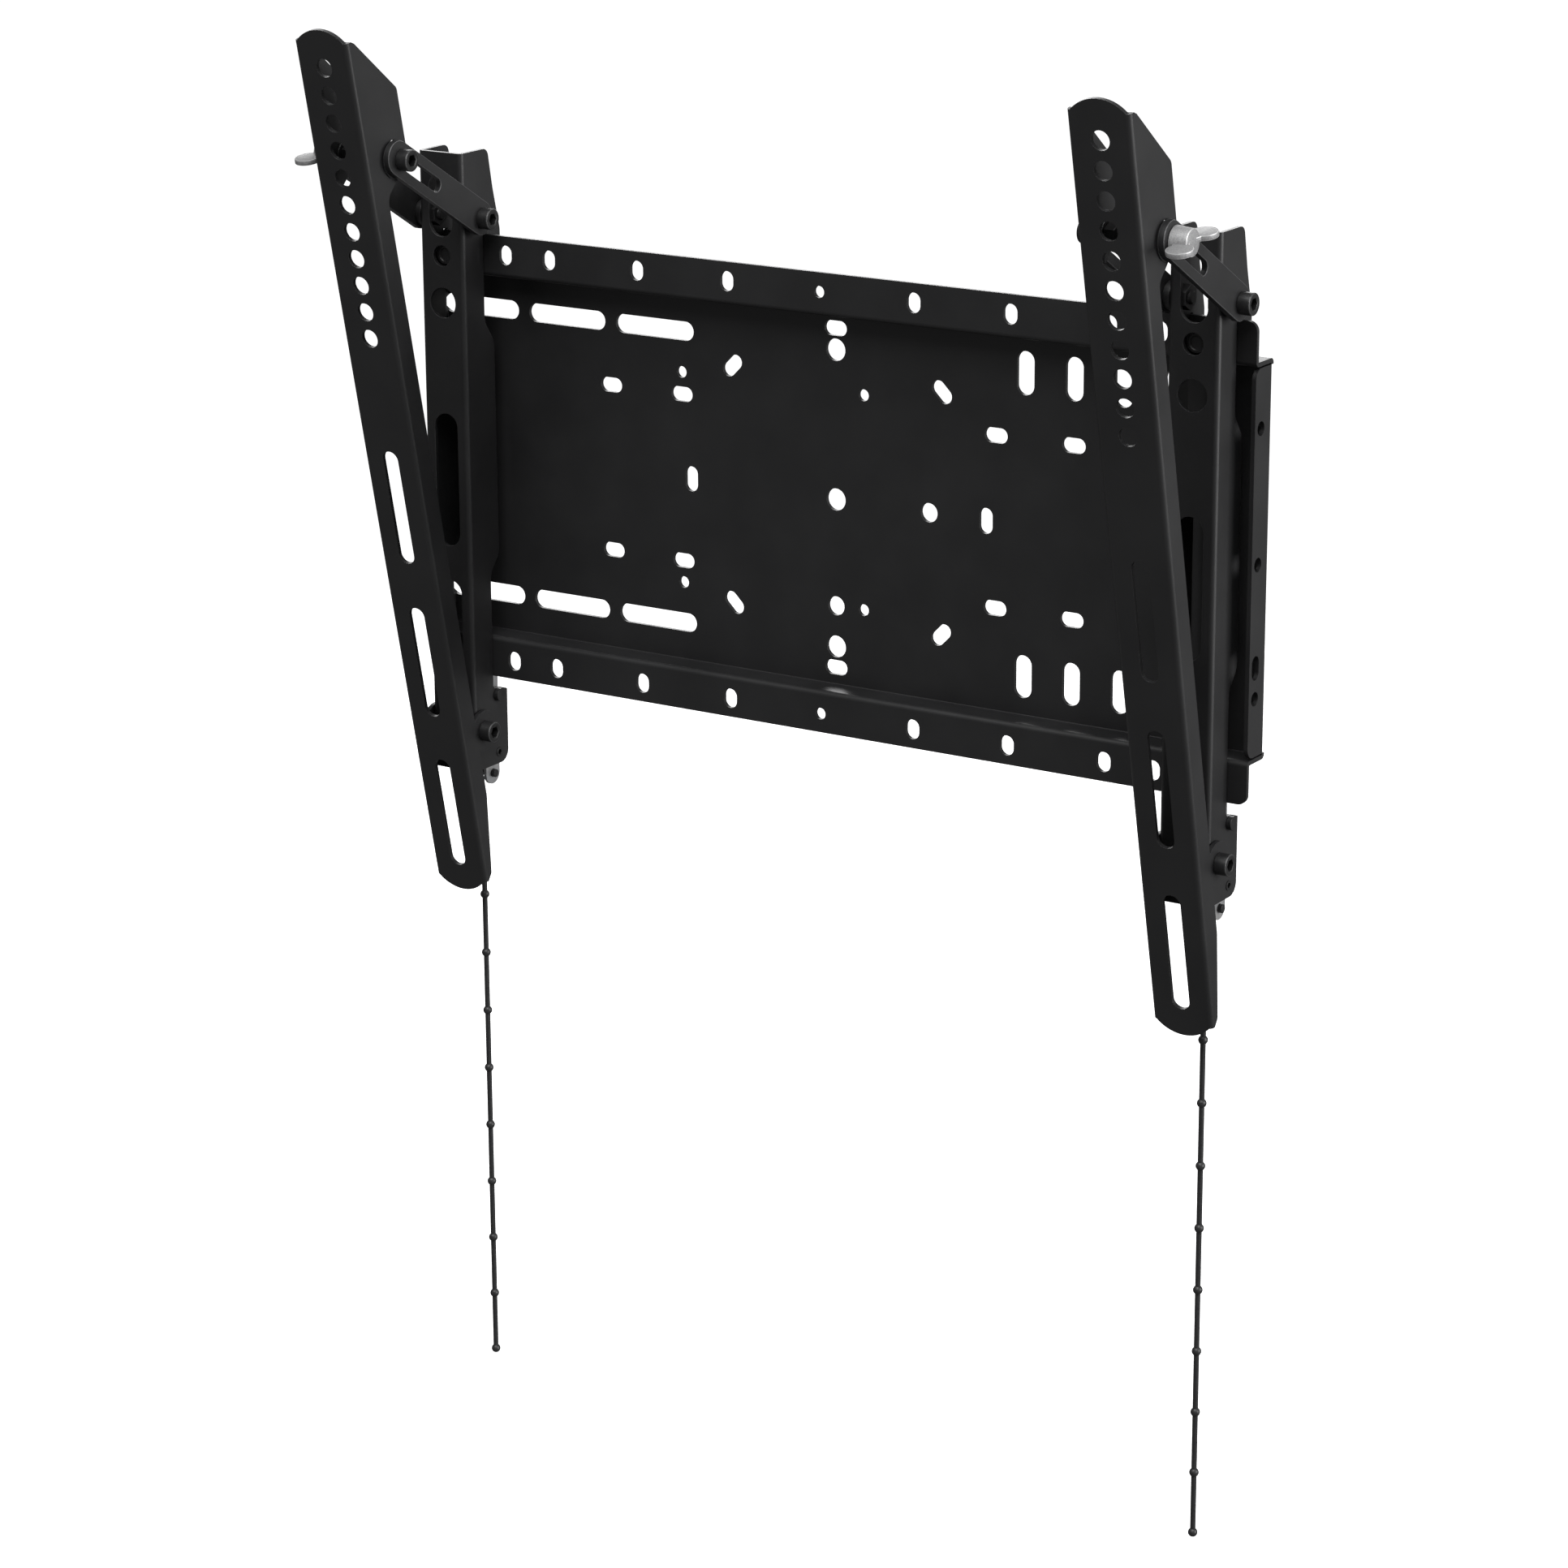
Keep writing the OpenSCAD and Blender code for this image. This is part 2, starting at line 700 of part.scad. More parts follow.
module wing_bolt() {
  color(zinc)
    translate([0, clamp[0], clamp[1]]) {
      pin_x(shank_tip, head_start + 1, shank, [0, 0]);
      translate([head_start, 0, 0]) rotate([0, 90, 0])
        cylinder(h = wing_hub, d1 = 10.6, d2 = 8.8);
      translate([head_start + wing_hub, 0, 0]) rotate([0, 90, 0]) cylinder(h = 0.8, d1 = 8.8, d2 = 7);
      rotate([wing_tilt, 0, 0]) linear_extrude(wing_thickness, center = true)
        for (side = [-1, 1]) {
          lobe = [wing_middle, side * (wing_span / 2 - wing_radius)];
          translate(lobe) circle(wing_radius);
          slot_between([head_start + 4, side * 1.5], lobe, 7);
        }
    }
}

module latch_cheek() {
  top = -rail_edge + latch_reach;
  difference() {
    union() {
      rounded_outline(
        [[latch_front, latch_end[1]], [latch_rear, latch_end[1]], [latch_rear, top], [-12, top],
         [-13.3, top - 2], [-13.3, -rail_edge - hook_gap], [latch_front, -rail_edge - hook_gap]],
        [0, 0, 2, 0, 0, 0.5, 1]
      );
      translate(latch_end) circle(latch_end_radius);
    }
    translate(latch_end) circle(d = latch_pin + 2 * shank_gap);
    translate(rivet_place) slot_between([0, 0], [0, latch_travel], rivet_diameter - 1 + 2 * shank_gap);
  }
}

module latch_plate() {
  half = latch_width / 2;
  color(zinc) {
    for (side = [-1, 1])
      across_from(side * (half - latch_sheet), side * half) latch_cheek();
    across(latch_width - 1)
      translate([latch_rear - latch_sheet, latch_end[1] + 20])
        square([latch_sheet, -rail_edge + latch_reach - latch_end[1] - 22]);
    across(6)
      translate([latch_rear - 10, latch_shelf_z]) square([9.5, latch_sheet]);
  }
}

module latch_cross_pin() {
  color(black_oxide) pin_x(-10, 10, latch_pin, latch_end);
}

// Points of a ring of a tube, in the plane across the direction
function ring(p, side_a, side_b, r, n) = [for (k = [0 : n - 1])
  p + side_a * r * cos(360 * k / n) + side_b * r * sin(360 * k / n)];

// A tube through rings of n points each, closed at both ends
module tube(rings, n) {
  m = len(rings);
  points = [for (g = rings) each g];
  sides = [for (i = [0 : m - 2], k = [0 : n - 1])
    [i * n + k, i * n + (k + 1) % n, (i + 1) * n + (k + 1) % n, (i + 1) * n + k]];
  first = [[for (k = [0 : n - 1]) n - 1 - k]];
  last = [[for (k = [0 : n - 1]) (m - 1) * n + k]];
  polyhedron(points, concat(first, sides, last), convexity = 6);
}

module latch_spring() {
  n = 6;
  steps = 10;
  low = rivet_place[1] + rivet_diameter / 2 - 0.5 + spring_wire / 2 + slide_gap;
  high = latch_shelf_z - spring_wire / 2 - slide_gap;
  r = (spring_diameter - spring_wire) / 2;
  rings = [for (i = [0 : spring_turns * steps])
    let (t = i * 360 / steps, z = low + (high - low) * i / (spring_turns * steps),
         out = [cos(t), sin(t), 0], c = [0, latch_end[0], z] + out * r)
      ring(c, out, [0, 0, 1], spring_wire / 2, n)];
  color(zinc) tube(rings, n);
}

module pull_cord(side) {
  n = 8;
  rings_count = 48;
  top = cord_route[0];
  end = cord_route[1];
  rings = [for (i = [0 : rings_count])
    let (p = top + (end - top) * i / rings_count)
      ring([side * p[0], p[1], p[2]], [1, 0, 0], [0, -1, 0], cord_diameter / 2, n)];
  color(black_plastic) tube(rings, n);
}

module cord_beads(side) {
  color(black_plastic)
    for (i = [0 : bead_count - 1])
      translate([side * cord_side, cord_route[1][1], cord_route[1][2] - 0.8 + i * bead_pitch]) difference() {
        sphere(d = bead_diameter);
        cylinder(h = 2 * bead_diameter, d = cord_diameter + 2 * shank_gap, center = true);
      }
}

wall_plate();

arm(-1) hook_bracket();  // left_hook_bracket
arm(-1) lock_plate();  // left_lock_plate
arm(-1) lock_screw();  // left_lock_screw
arm(-1) stay_pivot_screws();  // left_stay_pivot_screws
arm(-1) stay_pivot_nuts();  // left_stay_pivot_nuts
arm(-1) stay_spacers();  // left_stay_spacers
arm(-1) tilt_pivot_screws();  // left_tilt_pivot_screws
arm(-1) latch_rivets();  // left_latch_rivets
arm(-1) display_rail();  // left_display_rail
arm(-1) outer_stay();  // left_outer_stay
arm(-1) inner_stay();  // left_inner_stay
arm(-1) wing_bolt();  // left_wing_bolt
arm(-1) clamp_screw();  // left_clamp_screw
arm(-1) clamp_washers();  // left_clamp_washers
arm(-1) clamp_nuts();  // left_clamp_nuts
arm(-1) latch_plate();  // left_latch_plate
arm(-1) latch_cross_pin();  // left_latch_pin
arm(-1) latch_spring();  // left_latch_spring
arm(-1) pull_cord(-1);  // left_pull_cord
arm(-1) cord_beads(-1);  // left_cord_beads

arm(1) hook_bracket();  // right_hook_bracket
arm(1) lock_plate();  // right_lock_plate
arm(1) lock_screw();  // right_lock_screw
arm(1) stay_pivot_screws();  // right_stay_pivot_screws
arm(1) stay_pivot_nuts();  // right_stay_pivot_nuts
arm(1) stay_spacers();  // right_stay_spacers
arm(1) tilt_pivot_screws();  // right_tilt_pivot_screws
arm(1) latch_rivets();  // right_latch_rivets
arm(1) display_rail();  // right_display_rail
arm(1) outer_stay();  // right_outer_stay
arm(1) inner_stay();  // right_inner_stay
arm(1) wing_bolt();  // right_wing_bolt
arm(1) clamp_screw();  // right_clamp_screw
arm(1) clamp_washers();  // right_clamp_washers
arm(1) clamp_nuts();  // right_clamp_nuts
arm(1) latch_plate();  // right_latch_plate
arm(1) latch_cross_pin();  // right_latch_pin
arm(1) latch_spring();  // right_latch_spring
arm(1) pull_cord(1);  // right_pull_cord
arm(1) cord_beads(1);  // right_cord_beads
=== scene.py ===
import math

import bmesh
import bpy
from mathutils import Matrix, Vector


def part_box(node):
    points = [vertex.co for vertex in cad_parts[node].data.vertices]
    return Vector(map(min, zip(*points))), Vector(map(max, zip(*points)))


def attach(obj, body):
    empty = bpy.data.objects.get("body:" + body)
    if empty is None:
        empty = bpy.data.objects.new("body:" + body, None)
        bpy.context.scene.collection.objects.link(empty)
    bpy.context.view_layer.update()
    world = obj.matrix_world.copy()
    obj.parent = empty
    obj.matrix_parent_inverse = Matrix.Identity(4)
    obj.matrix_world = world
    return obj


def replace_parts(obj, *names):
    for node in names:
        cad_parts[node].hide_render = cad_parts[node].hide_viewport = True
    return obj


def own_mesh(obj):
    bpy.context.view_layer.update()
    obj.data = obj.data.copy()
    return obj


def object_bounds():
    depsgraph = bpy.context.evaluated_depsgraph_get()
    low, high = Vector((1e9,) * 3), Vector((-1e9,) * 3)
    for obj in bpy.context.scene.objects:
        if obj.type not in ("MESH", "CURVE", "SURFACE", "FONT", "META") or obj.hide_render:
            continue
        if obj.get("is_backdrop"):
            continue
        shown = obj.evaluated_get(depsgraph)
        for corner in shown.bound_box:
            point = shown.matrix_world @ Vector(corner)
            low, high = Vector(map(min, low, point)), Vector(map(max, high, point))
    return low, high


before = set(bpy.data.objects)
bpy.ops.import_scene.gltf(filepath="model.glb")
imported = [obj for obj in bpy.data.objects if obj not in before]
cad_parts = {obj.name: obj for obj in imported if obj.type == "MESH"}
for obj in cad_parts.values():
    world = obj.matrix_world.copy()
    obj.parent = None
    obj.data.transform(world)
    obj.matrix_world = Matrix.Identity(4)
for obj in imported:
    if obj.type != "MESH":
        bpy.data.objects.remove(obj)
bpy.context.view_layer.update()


# Camera
# A long lens from the right and a little above, as the mount was photographed.

camera_data = bpy.data.cameras.new("photo_camera")
camera_data.sensor_width = 36.0
camera_data.lens = 109.4
camera_data.clip_end = 80.0
camera = bpy.data.objects.new("photo_camera", camera_data)
bpy.context.scene.collection.objects.link(camera)
bpy.context.scene.camera = camera

azimuth, elevation, roll = math.radians(32.99), math.radians(16.73), math.radians(-0.326)
camera_back = Vector((math.sin(azimuth) * math.cos(elevation), -math.cos(azimuth) * math.cos(elevation),
                      math.sin(elevation)))
camera_right = Vector((math.cos(azimuth), math.sin(azimuth), 0.0))
camera_up = camera_back.cross(camera_right)
turned_right = camera_right * math.cos(roll) + camera_up * math.sin(roll)
turned_up = camera_up * math.cos(roll) - camera_right * math.sin(roll)
camera_axes = Matrix((turned_right, turned_up, camera_back)).transposed()
camera.matrix_world = Matrix.Translation((1.1426, -1.8074, 0.5057)) @ camera_axes.to_4x4()


# Pull cords and their beads
# A thin black plastic cord hangs from each latch's cross pin, straight under its own weight.
# Small beads are moulded onto it at even steps, to grip it by.

MM = 0.001
sides = (("left", -0.2), ("right", 0.2))
cord_diameter = 2.6 * MM
cord_x, cord_y = 1.5 * MM, -13.0 * MM
cord_top, cord_foot = -161.2 * MM, -464.0 * MM
bead_radius, bead_step, bead_count = 2.25 * MM, 30.3 * MM, 9


def shader(name, color, roughness, metallic=0.0):
    """A new material with its main values on the shader's own sockets."""
    material = bpy.data.materials.new(name)
    material.use_nodes = True
    surface = material.node_tree.nodes["Principled BSDF"]
    surface.inputs["Base Color"].default_value = (*color, 1.0)
    surface.inputs["Roughness"].default_value = roughness
    surface.inputs["Metallic"].default_value = metallic
    return material, material.node_tree.nodes, material.node_tree.links, surface


def noise(nodes, links, scale, detail=4.0, stretch=(1.0, 1.0, 1.0)):
    """Noise on Object coordinates, which are the frame's metres on every piece."""
    place = nodes.new("ShaderNodeTexCoord")
    mapping = nodes.new("ShaderNodeMapping")
    mapping.inputs["Scale"].default_value = stretch
    texture = nodes.new("ShaderNodeTexNoise")
    texture.inputs["Scale"].default_value = scale
    texture.inputs["Detail"].default_value = detail
    links.new(place.outputs["Object"], mapping.inputs["Vector"])
    links.new(mapping.outputs["Vector"], texture.inputs["Vector"])
    return texture.outputs["Fac"]


def remap(nodes, links, source, low, high):
    """Turns a noise into a range of another value."""
    node = nodes.new("ShaderNodeMapRange")
    node.inputs["From Min"].default_value = 0.3
    node.inputs["From Max"].default_value = 0.7
    node.inputs["To Min"].default_value = low
    node.inputs["To Max"].default_value = high
    links.new(source, node.inputs["Value"])
    return node.outputs["Result"]


def mottled(nodes, links, source, dark, light):
    """Colours along a noise, from a dark to a light one."""
    node = nodes.new("ShaderNodeValToRGB")
    for element, place, color in zip(node.color_ramp.elements, (0.3, 0.7), (dark, light)):
        element.position = place
        element.color = (*color, 1.0)
    links.new(source, node.inputs["Fac"])
    return node.outputs["Color"]


def relief(nodes, links, source, strength, depth, surface, under=None):
    """Fine relief on a surface, over another relief if there is one."""
    node = nodes.new("ShaderNodeBump")
    node.inputs["Strength"].default_value = strength
    node.inputs["Distance"].default_value = depth
    links.new(source, node.inputs["Height"])
    if under is not None:
        links.new(under, node.inputs["Normal"])
    links.new(node.outputs["Normal"], surface.inputs["Normal"])
    return node.outputs["Normal"]


def finished(name, bm, material, body, smooth_angle=35.0, edge_material=None):
    """Makes a mesh into a piece at the origin, smooth up to an angle, and puts it on its body."""
    mesh = bpy.data.meshes.new(name)
    bm.to_mesh(mesh)
    bm.free()
    mesh.shade_smooth()
    mesh.set_sharp_from_angle(angle=math.radians(smooth_angle))
    mesh.materials.append(material)
    if edge_material:
        mesh.materials.append(edge_material)
    piece = bpy.data.objects.new(name, mesh)
    bpy.context.scene.collection.objects.link(piece)
    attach(piece, body)
    return piece


cord_plastic, nodes, links, surface = shader("black_cord_plastic", (0.022, 0.022, 0.023), 0.42)
grain = noise(nodes, links, 900.0)
links.new(remap(nodes, links, grain, 0.36, 0.5), surface.inputs["Roughness"])
links.new(mottled(nodes, links, grain, (0.018, 0.018, 0.019), (0.028, 0.028, 0.029)),
          surface.inputs["Base Color"])
relief(nodes, links, grain, 0.15, 0.1 * MM, surface)

for side, x in sides:
    curve = bpy.data.curves.new(side + "_pull_cord_line", "CURVE")
    curve.dimensions = "3D"
    curve.bevel_depth = cord_diameter / 2
    curve.bevel_resolution = 4
    curve.use_fill_caps = True
    spline = curve.splines.new("POLY")
    steps = 24
    spline.points.add(steps)
    for i, point in enumerate(spline.points):
        point.co = (x + cord_x, cord_y, cord_top + (cord_foot - cord_top) * i / steps, 1.0)
    curve.materials.append(cord_plastic)
    cord = bpy.data.objects.new(side + "_pull_cord_line", curve)
    bpy.context.scene.collection.objects.link(cord)
    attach(cord, side + "_latch")
    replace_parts(cord, side + "_pull_cord")

    beads = bmesh.new()
    first_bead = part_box(side + "_cord_beads")[0][2] + bead_radius
    for i in range(bead_count):
        made = bmesh.ops.create_uvsphere(beads, u_segments=28, v_segments=18, radius=bead_radius)
        bmesh.ops.translate(beads, verts=made["verts"],
                            vec=(x + cord_x, cord_y, first_bead + i * bead_step))
    beads_piece = finished(side + "_beads", beads, cord_plastic, side + "_latch")
    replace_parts(beads_piece, side + "_cord_beads")


# Floor and studio light
# A plain pale floor and a round backdrop far around the hanging mount, washed out by their own light.
# A soft grey surround lights the black steel evenly, with large softboxes right, above and behind.

floor_mesh = bpy.data.meshes.new("studio_floor")
bm = bmesh.new()
bmesh.ops.create_grid(bm, x_segments=2, y_segments=2, size=30.0)
bmesh.ops.translate(bm, verts=bm.verts, vec=(0.0, 0.0, -1.0))
bm.to_mesh(floor_mesh)
bm.free()
floor = bpy.data.objects.new("studio_floor", floor_mesh)
bpy.context.scene.collection.objects.link(floor)
floor_paint, nodes, links, surface = shader("pale_floor", (0.9, 0.9, 0.9), 0.9)
speck = noise(nodes, links, 3.0, 2.0)
links.new(mottled(nodes, links, speck, (0.88, 0.88, 0.88), (0.92, 0.92, 0.92)),
          surface.inputs["Base Color"])
surface.inputs["Emission Color"].default_value = (1.0, 1.0, 1.0, 1.0)
surface.inputs["Emission Strength"].default_value = 0.9
floor_mesh.materials.append(floor_paint)
floor.visible_glossy = False
floor.visible_diffuse = False
floor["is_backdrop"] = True

backdrop_mesh = bpy.data.meshes.new("studio_backdrop")
bm = bmesh.new()
bmesh.ops.create_uvsphere(bm, u_segments=32, v_segments=16, radius=27.0)
bmesh.ops.reverse_faces(bm, faces=bm.faces)
bm.to_mesh(backdrop_mesh)
bm.free()
backdrop = bpy.data.objects.new("studio_backdrop", backdrop_mesh)
bpy.context.scene.collection.objects.link(backdrop)
backdrop_mesh.materials.append(floor_paint)
backdrop.visible_glossy = False
backdrop.visible_diffuse = False
backdrop.visible_shadow = False
backdrop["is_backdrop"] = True

world = bpy.data.worlds.new("soft_surround")
bpy.context.scene.world = world
world.use_nodes = True
world.node_tree.nodes["Background"].inputs["Color"].default_value = (1.0, 1.0, 1.0, 1.0)
world.node_tree.nodes["Background"].inputs["Strength"].default_value = 0.165
bpy.context.scene.view_settings.view_transform = "Standard"


def softbox(name, place, aim, size, power):
    """A rectangular studio lamp that faces a point."""
    data = bpy.data.lights.new(name, "AREA")
    data.shape = "RECTANGLE"
    data.size, data.size_y = size
    data.energy = power
    lamp = bpy.data.objects.new(name, data)
    bpy.context.scene.collection.objects.link(lamp)
    lamp.location = place
    lamp.rotation_mode = "QUATERNION"
    lamp.rotation_quaternion = (Vector(place) - Vector(aim)).to_track_quat("Z", "Y")


softbox("right_softbox", (2.8, 0.5, 0.4), (0.0, 0.0, 0.0), (1.8, 1.8), 68.0)
softbox("top_softbox", (0.5, -1.5, 2.5), (0.0, 0.0, 0.0), (2.4, 2.4), 98.0)
softbox("back_softbox", (-1.8, 2.6, 1.2), (0.0, 0.0, 0.0), (2.0, 2.0), 60.0)


# Wall plate
# One folded steel sheet with a hooking rail along its top and bottom, punched for wall anchors.
# Its cut edges are softened by tumbling, and it has a fine matt black powder coat.

powder_coat, nodes, links, surface = shader("black_powder_coat", (0.014, 0.014, 0.015), 0.45)
fine = noise(nodes, links, 2200.0, 2.0)
orange_peel = noise(nodes, links, 420.0, 3.0)
broad = noise(nodes, links, 30.0, 3.0)
links.new(remap(nodes, links, broad, 0.41, 0.49), surface.inputs["Roughness"])
links.new(mottled(nodes, links, broad, (0.0125, 0.0125, 0.0132), (0.0165, 0.0165, 0.0172)),
          surface.inputs["Base Color"])
peel = relief(nodes, links, orange_peel, 0.08, 0.05 * MM, surface)
relief(nodes, links, fine, 0.12, 0.03 * MM, surface, peel)

# A lighter coat for the rounded edges: a painted highlight along them, where the coat is also rubbed thin.
rubbed_and_highlit_coat, nodes, links, surface = shader("rubbed_and_painted_highlight_edge_of_coat", (0.08, 0.08, 0.082), 0.38)
thin = noise(nodes, links, 500.0, 3.0)
links.new(remap(nodes, links, thin, 0.34, 0.44), surface.inputs["Roughness"])
links.new(mottled(nodes, links, thin, (0.06, 0.06, 0.062), (0.10, 0.10, 0.103)),
          surface.inputs["Base Color"])
relief(nodes, links, thin, 0.08, 0.03 * MM, surface)


def softened(node, name, body, material, width, segments=2, edge_material=None):
    """A CAD node's own shape with its doubles merged and its sharp edges rounded, in place of the node."""
    bm = bmesh.new()
    bm.from_mesh(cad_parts[node].data)
    bmesh.ops.remove_doubles(bm, verts=bm.verts, dist=0.002 * MM)
    bmesh.ops.dissolve_limit(bm, angle_limit=math.radians(0.3), verts=bm.verts, edges=bm.edges)
    sharp = [e for e in bm.edges if len(e.link_faces) == 2 and e.calc_face_angle(0.0) > math.radians(40)]
    rounded = bmesh.ops.bevel(bm, geom=sharp, offset=width, offset_type="OFFSET", affect="EDGES",
                              segments=segments, profile=0.5, material=-1, clamp_overlap=True)["faces"]
    # The rounded faces take the edge material, a lighter colour painted on as a highlight.
    if edge_material:
        for face in rounded:
            face.material_index = 1
    piece = finished(name, bm, material, body, edge_material=edge_material)
    even = piece.modifiers.new("even_shading", "WEIGHTED_NORMAL")
    even.keep_sharp = True
    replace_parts(piece, node)
    return piece


softened("wall_plate", "folded_wall_plate", "wall", powder_coat, 0.3 * MM, 2, rubbed_and_highlit_coat)


# Hook brackets
# A folded steel channel for each arm, hooked over the plate's upper rail and standing on the lower one.
# The hooks, ears and slots are laser cut before it is folded, and it has the plate's powder coat.

for side, x in sides:
    softened(side + "_hook_bracket", side + "_folded_bracket", side + "_bracket",
             powder_coat, 0.3 * MM, 2, rubbed_and_highlit_coat)


# Lock plates and lock screws
# A small threaded plate is welded across each bracket behind its upper hole.
# A black screw with a dished head is driven through the hole, so that the arm can't lift off the rail.

black_oxide, nodes, links, surface = shader("black_oxide_steel", (0.016, 0.016, 0.0165), 0.4, 0.2)
haze = noise(nodes, links, 260.0, 4.0)
links.new(remap(nodes, links, haze, 0.36, 0.46), surface.inputs["Roughness"])
links.new(mottled(nodes, links, haze, (0.013, 0.013, 0.0135), (0.020, 0.020, 0.0205)),
          surface.inputs["Base Color"])
relief(nodes, links, noise(nodes, links, 1600.0, 2.0), 0.08, 0.03 * MM, surface)

# Screw heads, nuts and washers get lighter rims: a painted highlight on the worn edge.
worn_and_highlit_oxide, nodes, links, surface = shader("worn_and_painted_highlight_edge_of_oxide", (0.06, 0.06, 0.061), 0.38, 0.3)
oxide_edge_mottle = noise(nodes, links, 700.0, 3.0)
links.new(remap(nodes, links, oxide_edge_mottle, 0.32, 0.44), surface.inputs["Roughness"])
links.new(mottled(nodes, links, oxide_edge_mottle, (0.045, 0.045, 0.046), (0.075, 0.075, 0.076)),
          surface.inputs["Base Color"])
relief(nodes, links, oxide_edge_mottle, 0.08, 0.03 * MM, surface)

socket_corner = 2.9 * MM


def cap_screw(bm, place, direction, head_radius, head_length, shank_radius, shank_length, dish=0.0):
    """A cap screw with a threaded shank, and a hexagon socket or a round dish of a radius.

    The place is under its head, the direction points out of it, and its rim takes the lighter edge finish,
    a painted highlight on the worn rim."""
    screw = bmesh.new()
    rim = 0.45 * MM
    thread_depth, thread_pitch = 0.3 * MM, 0.9 * MM
    mouth = dish or socket_corner + 0.35 * MM
    socket_depth = head_length * 0.55
    profile = [(0.0, -shank_length), (shank_radius - 0.6 * MM, -shank_length)]
    turns = int(shank_length * 0.6 / thread_pitch)
    for i in range(turns):
        z = -shank_length + 0.5 * MM + i * thread_pitch
        profile += [(shank_radius, z), (shank_radius, z + 0.2 * MM),
                    (shank_radius - thread_depth, z + 0.55 * MM)]
    profile += [(shank_radius, profile[-1][1] + 0.35 * MM), (shank_radius, 0.0),
                (head_radius - 0.15 * MM, 0.0), (head_radius, 0.15 * MM)]
    rim_steps = 4
    for i in range(rim_steps + 1):
        angle = math.radians(90 * i / rim_steps)
        profile.append((head_radius - rim + rim * math.cos(angle),
                        head_length - rim + rim * math.sin(angle)))
    profile.append((mouth, head_length))
    if dish:
        dish_floor = head_length - 0.6 * MM
        profile += [(mouth - 0.3 * MM, head_length - 0.25 * MM), (mouth - 0.5 * MM, dish_floor),
                    (0.0, dish_floor)]
    points = [screw.verts.new((radius, 0.0, z)) for radius, z in profile]
    lines = [screw.edges.new(pair) for pair in zip(points, points[1:])]
    bmesh.ops.spin(screw, geom=points + lines, cent=(0, 0, 0), axis=(0, 0, 1), angle=math.tau, steps=48,
                   use_merge=True)
    bmesh.ops.remove_doubles(screw, verts=screw.verts, dist=0.001 * MM)
    # The head's rim takes the second material, a painted highlight.
    for face in screw.faces:
        middle = face.calc_center_median()
        if head_length - rim < middle.z < head_length - 0.01 * MM and middle.xy.length > mouth:
            face.material_index = 1
    mouth_edges = [e for e in screw.edges if e.is_boundary]
    if mouth_edges:
        hexagon = bmesh.ops.create_circle(screw, segments=6, radius=socket_corner, cap_ends=False)["verts"]
        bmesh.ops.translate(screw, verts=hexagon, vec=(0, 0, head_length - 0.2 * MM))
        hexagon_edges = list({e for v in hexagon for e in v.link_edges})
        bmesh.ops.bridge_loops(screw, edges=mouth_edges + hexagon_edges)
        wall = bmesh.ops.extrude_edge_only(screw, edges=hexagon_edges)["geom"]
        bmesh.ops.translate(screw, verts=[g for g in wall if isinstance(g, bmesh.types.BMVert)],
                            vec=(0, 0, -socket_depth))
        foot_edges = [g for g in wall if isinstance(g, bmesh.types.BMEdge) and g.is_boundary]
        bmesh.ops.contextual_create(screw, geom=foot_edges)
    bmesh.ops.recalc_face_normals(screw, faces=screw.faces)
    turn = Vector((0, 0, 1)).rotation_difference(Vector(direction)).to_matrix().to_4x4()
    bmesh.ops.transform(screw, matrix=Matrix.Translation(place) @ turn, verts=screw.verts)
    made = bpy.data.meshes.new("screw")
    screw.to_mesh(made)
    screw.free()
    bm.from_mesh(made)
    bpy.data.meshes.remove(made)


for side, x in sides:
    softened(side + "_lock_plate", side + "_welded_plate", side + "_bracket", powder_coat,
             0.25 * MM)
    low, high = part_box(side + "_lock_screw")
    lock = bmesh.new()
    head_length = 5.0 * MM
    seat = (x, low[1] + head_length, (low[2] + high[2]) / 2)
    head_radius = (high[2] - low[2]) / 2
    cap_screw(lock, seat, (0, -1, 0), head_radius, head_length, 3.0 * MM, high[1] - seat[1],
              dish=0.72 * head_radius)
    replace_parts(finished(side + "_lock_cap_screw", lock, black_oxide, side + "_bracket",
                         edge_material=worn_and_highlit_oxide), side + "_lock_screw")


# Display rails
# A folded steel channel for each arm, which is screwed to the back of the screen through its round
# holes and long slots. It is punched, folded and powder coated like the brackets.

for side, x in sides:
    softened(side + "_display_rail", side + "_folded_rail", side + "_rail",
             powder_coat, 0.3 * MM, 2, rubbed_and_highlit_coat)


# Tilt pivot screws
# A black cap screw on each side of an arm, through the rail's ear and the bracket's flange.
# The display rail tilts about the two of them.

for side, x in sides:
    low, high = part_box(side + "_tilt_pivot_screws")
    pivots = bmesh.new()
    middle = ((low[1] + high[1]) / 2, (low[2] + high[2]) / 2)
    head_length = 6.0 * MM
    for outward in (-1, 1):
        under_head = (high[0] - low[0]) / 2 - head_length
        cap_screw(pivots, (x + outward * under_head, *middle), (outward, 0, 0), (high[2] - low[2]) / 2,
                  head_length, 2.5 * MM, under_head - 9.0 * MM)
    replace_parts(finished(side + "_tilt_cap_screws", pivots, black_oxide, side + "_bracket",
                         edge_material=worn_and_highlit_oxide), side + "_tilt_pivot_screws")


# Stays
# Two flat slotted bars for each arm, cut from thick strip with full round ends and powder coated.
# They swing on the bracket, and the clamp bolts run in their slots as the rail tilts.

for side, x in sides:
    for row in ("outer", "inner"):
        softened(side + "_" + row + "_stay", side + "_" + row + "_bar", side + "_stays",
                 powder_coat, 0.3 * MM, 2, rubbed_and_highlit_coat)


# Stay pivots
# Each stay swings on a black cap screw, which passes a spacer and the bracket's flange.
# A hexagon nut inside the bracket holds it.

